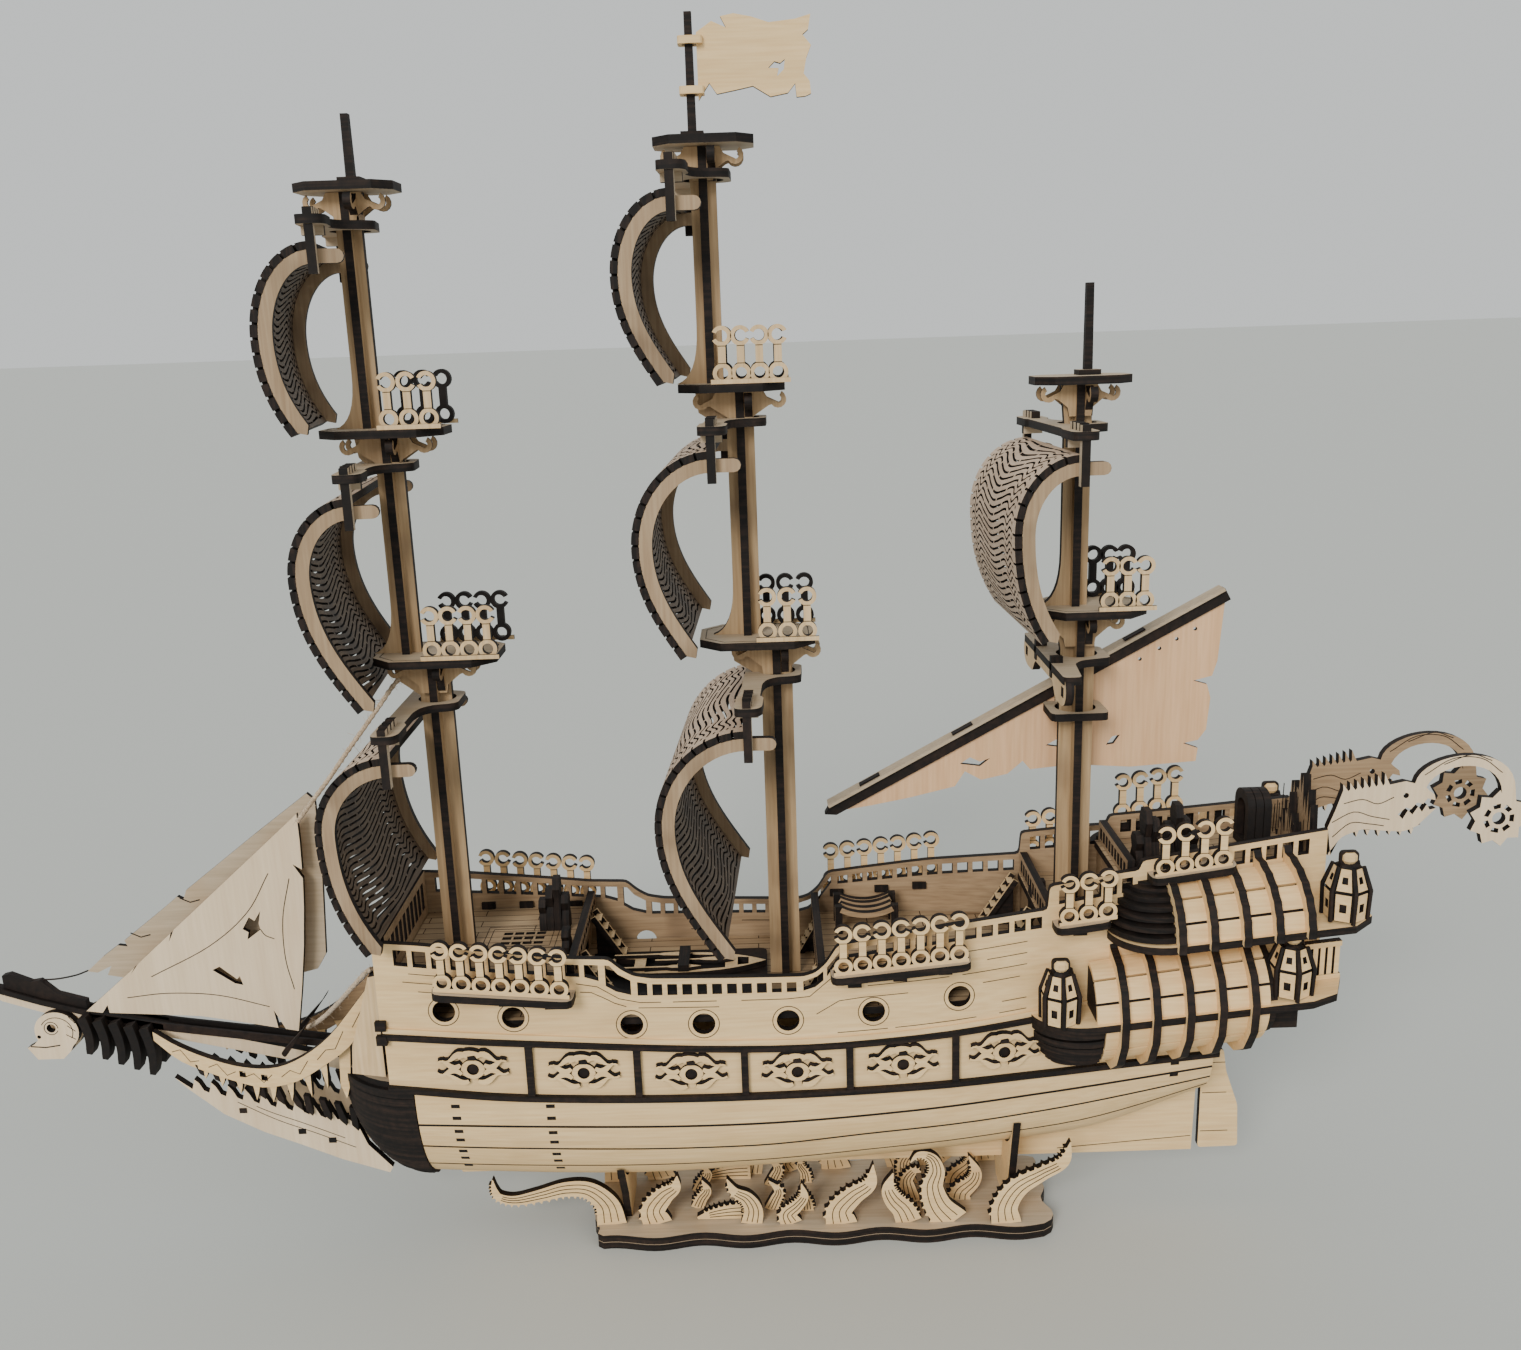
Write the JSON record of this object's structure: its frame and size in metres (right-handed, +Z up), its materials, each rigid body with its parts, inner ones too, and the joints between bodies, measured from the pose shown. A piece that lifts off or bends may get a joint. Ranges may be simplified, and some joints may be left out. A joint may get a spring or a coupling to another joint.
{
  "type": "model sailing ship",
  "caption": "Model sailing ship of laser-cut plywood with bowed slotted sails on turning yards, stern galleries, a toothed bow and a wavy display base.",
  "frame": {"origin": "centre of the underside of the display base", "axes": "+Z up; +X from bow to stern; +Y to the ship's starboard side"},
  "size_m": [0.6164, 0.1087, 0.4698],
  "materials": {
    "birch_ply": "raw birch plywood, matt, charred laser-cut edges",
    "charred_ply": "stacked charred plywood edges, matt",
    "deck_ply": "scorched plywood with engraved planks, matt",
    "sail_ply": "thin raw plywood, matt, charred slots and edges",
    "jute_twine": "fuzzy twisted jute"
  },
  "bodies": {
    "hull": {"bow_block": "charred_ply", "bow_bulkhead": "deck_ply", "bowsprit": "birch_ply", "cradle_aft": "birch_ply", "cradle_front": "birch_ply", "cutwater": "birch_ply", "figurehead": "birch_ply", "fore_bulkhead": "deck_ply", "fore_deck": "deck_ply", "fore_lower_top": "birch_ply", "fore_mast": "birch_ply", "fore_stay_twine": "jute_twine", "fore_upper_top": "birch_ply", "gallery_port": "birch_ply", "gallery_starboard": "birch_ply", "head_lashing_twine": "jute_twine", "head_rail_port": "birch_ply", "head_rail_starboard": "birch_ply", "inner_jib": "sail_ply", "keel": "birch_ply", "lower_planking_port": "birch_ply", "lower_planking_starboard": "birch_ply", "main_lower_top": "birch_ply", "main_mast": "birch_ply", "main_upper_top": "birch_ply", "mizzen_deck": "deck_ply", "mizzen_mast": "birch_ply", "mizzen_top": "birch_ply", "outer_jib": "sail_ply", "panel_band_port": "birch_ply", "panel_band_starboard": "birch_ply", "poop_deck": "deck_ply", "quarter_bulkhead": "deck_ply", "quarter_deck": "deck_ply", "stand_base": "birch_ply", "stern_serpent_port": "birch_ply", "stern_serpent_starboard": "birch_ply", "transom": "charred_ply", "upper_side_port": "birch_ply", "upper_side_starboard": "birch_ply", "waist_deck": "deck_ply"},
    "fore_course": {"fore_course_sail": "sail_ply", "fore_course_yard": "birch_ply"},
    "fore_topsail": {"fore_topsail_sail": "sail_ply", "fore_topsail_yard": "birch_ply"},
    "fore_topgallant": {"fore_topgallant_sail": "sail_ply", "fore_topgallant_yard": "birch_ply"},
    "main_course": {"main_course_sail": "sail_ply", "main_course_yard": "birch_ply"},
    "main_topsail": {"main_topsail_sail": "sail_ply", "main_topsail_yard": "birch_ply"},
    "main_topgallant": {"main_topgallant_sail": "sail_ply", "main_topgallant_yard": "birch_ply"},
    "mizzen_topsail": {"mizzen_topsail_sail": "sail_ply", "mizzen_topsail_yard": "birch_ply"},
    "crossjack": {"crossjack_yard": "birch_ply"},
    "lateen": {"lateen_yard": "birch_ply", "lateen_sail": "sail_ply"},
    "rudder": {"rudder": "birch_ply"},
    "flag": {"flag": "sail_ply"}
  },
  "joints": [
    {"name": "fore_course_brace", "type": "hinge", "parent": "hull", "child": "fore_course", "pos_m": [-0.143, 0, 0.228], "axis": [0, 0, 1], "range_deg": [-20, 20]},
    {"name": "fore_topsail_brace", "type": "hinge", "parent": "hull", "child": "fore_topsail", "pos_m": [-0.152, 0, 0.3185], "axis": [0, 0, 1], "range_deg": [-24, 12]},
    {"name": "fore_topgallant_brace", "type": "hinge", "parent": "hull", "child": "fore_topgallant", "pos_m": [-0.158, 0, 0.4025], "axis": [0, 0, 1], "range_deg": [-27, 9]},
    {"name": "main_course_brace", "type": "hinge", "parent": "hull", "child": "main_course", "pos_m": [-0.012, 0, 0.2345], "axis": [0, 0, 1], "range_deg": [-15, 21]},
    {"name": "main_topsail_brace", "type": "hinge", "parent": "hull", "child": "main_topsail", "pos_m": [-0.0225, 0, 0.3305], "axis": [0, 0, 1], "range_deg": [-16.5, 19.5]},
    {"name": "main_topgallant_brace", "type": "hinge", "parent": "hull", "child": "main_topgallant", "pos_m": [-0.0325, 0, 0.4155], "axis": [0, 0, 1], "range_deg": [-16, 20]},
    {"name": "mizzen_topsail_brace", "type": "hinge", "parent": "hull", "child": "mizzen_topsail", "pos_m": [0.101, 0, 0.3245], "axis": [0, 0, 1], "range_deg": [-20, 16]},
    {"name": "crossjack_brace", "type": "hinge", "parent": "hull", "child": "crossjack", "pos_m": [0.103, 0, 0.2375], "axis": [0, 0, 1], "range_deg": [-18, 18]},
    {"name": "lateen_swing", "type": "hinge", "parent": "hull", "child": "lateen", "pos_m": [0.103, 0, 0.2175], "axis": [0, 0, 1], "range_deg": [-25, 25]},
    {"name": "rudder_turn", "type": "hinge", "parent": "hull", "child": "rudder", "pos_m": [0.161, 0, 0.047], "axis": [0, 0, 1], "range_deg": [-35, 35]},
    {"name": "flag_turn", "type": "hinge", "parent": "hull", "child": "flag", "pos_m": [-0.0356, 0, 0.455], "axis": [0, 0, 1], "continuous": true}
  ]
}
